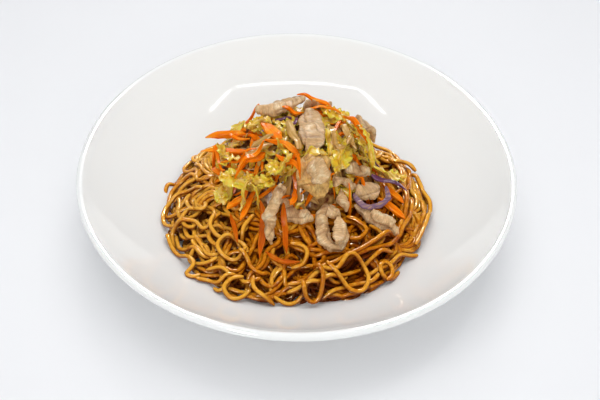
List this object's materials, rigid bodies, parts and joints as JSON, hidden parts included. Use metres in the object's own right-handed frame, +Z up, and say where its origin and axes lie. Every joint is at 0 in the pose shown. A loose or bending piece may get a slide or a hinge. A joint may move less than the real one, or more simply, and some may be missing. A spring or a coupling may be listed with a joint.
{
  "type": "yakisoba on a plate",
  "caption": "Heap of wavy fried noodles with a mound of sliced pork, carrot sticks, cabbage and onion, on a round white coupe plate.",
  "frame": {"origin": "middle of the plate's foot ring on the table", "axes": "+Z up out of the plate, -Y towards the guest, +X to the guest's right"},
  "size_m": [0.27, 0.27, 0.085],
  "materials": {
    "plate_glaze": "white glaze, glossy and smooth",
    "noodles": "wheat noodles fried in brown sauce, moist and slightly glossy",
    "small_toppings": "mixed shreds of carrot, cabbage and onion, moist",
    "pork": "cooked pork, grey-pink to tan, browned at the edges, moist",
    "carrot": "cooked carrot, bright orange, moist",
    "cabbage": "cooked cabbage, yellow-green to pale, moist",
    "onion": "fried onion, translucent tan",
    "red_cabbage": "cooked red cabbage, purple"
  },
  "bodies": {
    "root": {"plate": "plate_glaze", "noodle_heap": "noodles", "topping_heap": "small_toppings", "pork_front_loop": "pork", "pork_right_strip": "pork", "pork_front_slice": "pork", "carrot_front_long_left": "carrot", "carrot_front_long_right": "carrot", "carrot_front_thread": "carrot", "carrot_left_thread": "carrot", "carrot_right_stick": "carrot", "carrot_right_stick_behind": "carrot", "cabbage_right_rib": "cabbage", "cabbage_left_blob": "cabbage", "pork_right_knob": "pork", "pork_inner_right": "pork", "red_cabbage_loop": "red_cabbage", "red_cabbage_long": "red_cabbage", "pork_front_left_strip": "pork", "pork_back_low": "pork", "carrot_back_low_stick": "carrot", "carrot_crest_ridge": "carrot", "cabbage_back_left_leaf": "cabbage", "carrot_back_right_stick": "carrot", "pork_back_slice": "pork", "onion_back_band": "onion", "cabbage_back_leaf": "cabbage", "carrot_left_leaning": "carrot", "carrot_left_upright": "carrot", "cabbage_left_side_leaf": "cabbage", "cabbage_left_side_low": "cabbage", "pork_right_middle": "pork", "pork_right_lower_slice": "pork", "cabbage_right_strip": "cabbage", "carrot_front_left_thick": "carrot", "carrot_front_left_second": "carrot", "cabbage_left_band": "cabbage", "cabbage_left_hanging": "cabbage", "carrot_front_curl": "carrot", "pork_back_right": "pork", "cabbage_top_right": "cabbage", "carrot_left_long": "carrot", "carrot_upper_left_wedge": "carrot", "cabbage_right_leaf": "cabbage", "onion_right_brown": "onion", "onion_right_slip": "onion", "cabbage_right_curl": "cabbage", "carrot_right_slope": "carrot", "cabbage_yellow_fold": "cabbage", "pork_centre": "pork", "cabbage_upper_left_frill": "cabbage", "carrot_centre_patch": "carrot", "cabbage_centre_leaf": "cabbage", "onion_pale_slip": "onion", "carrot_centre_diagonal": "carrot", "carrot_arch": "carrot", "carrot_crest_chunk": "carrot", "onion_grey_strip": "onion", "pork_upper_front": "pork", "pork_crest_slice": "pork"}
  },
  "joints": []
}
